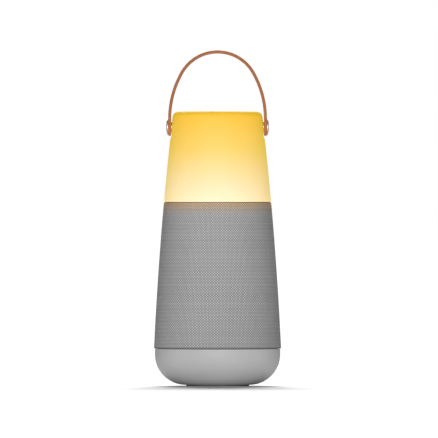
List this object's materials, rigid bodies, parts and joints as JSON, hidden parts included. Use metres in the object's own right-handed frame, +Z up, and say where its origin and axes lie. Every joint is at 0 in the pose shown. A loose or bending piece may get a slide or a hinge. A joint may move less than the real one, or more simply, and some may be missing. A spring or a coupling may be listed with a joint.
{
  "type": "portable lantern speaker",
  "caption": "Portable speaker with a lit shade on a cloth-covered tapered body, a round base and a swinging leather carry strap.",
  "frame": {"origin": "centre of the foot pad's underside, on the surface the speaker stands on", "axes": "+Z up through the centre of the body; the front faces -Y, the keys and charging socket face +Y; the strap pivots lie along X"},
  "size_m": [0.1, 0.1, 0.2637],
  "materials": {
    "lit_acrylic": "satin, translucent, lit from inside",
    "woven_cloth": "plain weave",
    "base_plastic": "satin",
    "key_plastic": "satin",
    "foot_rubber": "matte",
    "tan_leather": "oiled",
    "pivot_metal": "satin",
    "screw_steel": "plain",
    "black_plastic": "moulded",
    "white_plastic": "moulded",
    "gasket_rubber": "matte",
    "spreader_aluminium": "plain",
    "light_board_white": "white solder mask",
    "lamp_package": "lens",
    "circuit_board": "green solder mask",
    "chip_black": "moulded",
    "cell_wrap": "shrink wrap",
    "magnet_ferrite": "sintered",
    "plated_steel": "zinc plated",
    "cone_paper": "pressed pulp",
    "coil_copper": "enamelled wire",
    "surround_rubber": "matte",
    "spider_cloth": "resin stiffened",
    "silicone_grey": "matte",
    "clear_pipe": "clear",
    "socket_steel": "plain",
    "wire_sheath": "extruded"
  },
  "bodies": {
    "housing": {"lamp_shade": "lit_acrylic", "fabric_sleeve": "woven_cloth", "base_bowl": "base_plastic", "foot_pad": "foot_rubber", "strap_posts": "pivot_metal", "strap_washers": "pivot_metal", "strap_backing_washers": "screw_steel", "strap_post_screws": "screw_steel", "lamp_tray": "white_plastic", "shade_gasket": "gasket_rubber", "lamp_tray_screws": "screw_steel", "heat_spreader": "spreader_aluminium", "led_board": "light_board_white", "led_packages": "lamp_package", "reflector_ring": "white_plastic", "grille_frame": "black_plastic", "enclosure_tub": "black_plastic", "enclosure_lid": "black_plastic", "enclosure_lid_screws": "screw_steel", "driver_basket": "plated_steel", "driver_top_plate": "plated_steel", "driver_magnet": "magnet_ferrite", "driver_yoke": "plated_steel", "driver_surround": "surround_rubber", "driver_spider": "spider_cloth", "driver_screws": "screw_steel", "radiator_frame": "black_plastic", "radiator_surround": "surround_rubber", "radiator_screws": "screw_steel", "upper_deflector": "black_plastic", "upper_pillars": "black_plastic", "lower_deflector": "black_plastic", "lower_pillars": "black_plastic", "pillar_screws": "screw_steel", "chassis_plate": "black_plastic", "bowl_screws": "screw_steel", "main_board": "circuit_board", "main_board_posts": "plated_steel", "main_board_chips": "chip_black", "battery_cells": "cell_wrap", "battery_tray": "black_plastic", "battery_clamp": "black_plastic", "button_board": "circuit_board", "button_mat": "silicone_grey", "status_light_pipe": "clear_pipe", "usb_socket": "socket_steel", "usb_tongue": "chip_black", "usb_board": "circuit_board", "lamp_leads": "wire_sheath", "speaker_leads": "wire_sheath"},
    "strap": {"carry_strap": "tan_leather"},
    "volume_up_key": {"volume_up_button": "key_plastic"},
    "volume_down_key": {"volume_down_button": "key_plastic"},
    "light_key": {"light_button": "key_plastic"},
    "power_key": {"power_button": "key_plastic"},
    "cone": {"driver_cone": "cone_paper", "driver_dust_cap": "cone_paper", "driver_voice_coil": "coil_copper"},
    "radiator": {"radiator_plate": "spreader_aluminium", "radiator_weight": "plated_steel"}
  },
  "joints": [
    {"name": "strap_swing", "type": "hinge", "parent": "housing", "child": "strap", "pos_m": [0, 0, 0.2037], "axis": [1, 0, 0], "range_deg": [-90, 90]},
    {"name": "volume_up_key_press", "type": "slide", "parent": "housing", "child": "volume_up_key", "axis": [0, -1, 0], "range_m": [0, 0.0004], "stiffness_N_per_m": 1500},
    {"name": "volume_down_key_press", "type": "slide", "parent": "housing", "child": "volume_down_key", "axis": [0, -1, 0], "range_m": [0, 0.0004], "stiffness_N_per_m": 1500},
    {"name": "light_key_press", "type": "slide", "parent": "housing", "child": "light_key", "axis": [0, -1, 0], "range_m": [0, 0.0004], "stiffness_N_per_m": 1500},
    {"name": "power_key_press", "type": "slide", "parent": "housing", "child": "power_key", "axis": [0, -1, 0], "range_m": [0, 0.0004], "stiffness_N_per_m": 1500},
    {"name": "cone_travel", "type": "slide", "parent": "housing", "child": "cone", "axis": [0, 0, 1], "range_m": [-0.002, 0.002], "stiffness_N_per_m": 1200, "deforming": ["driver_surround", "driver_spider"]},
    {"name": "radiator_travel", "type": "slide", "parent": "housing", "child": "radiator", "axis": [0, 0, 1], "range_m": [-0.003, 0.003], "stiffness_N_per_m": 1500, "deforming": ["radiator_surround"]}
  ]
}
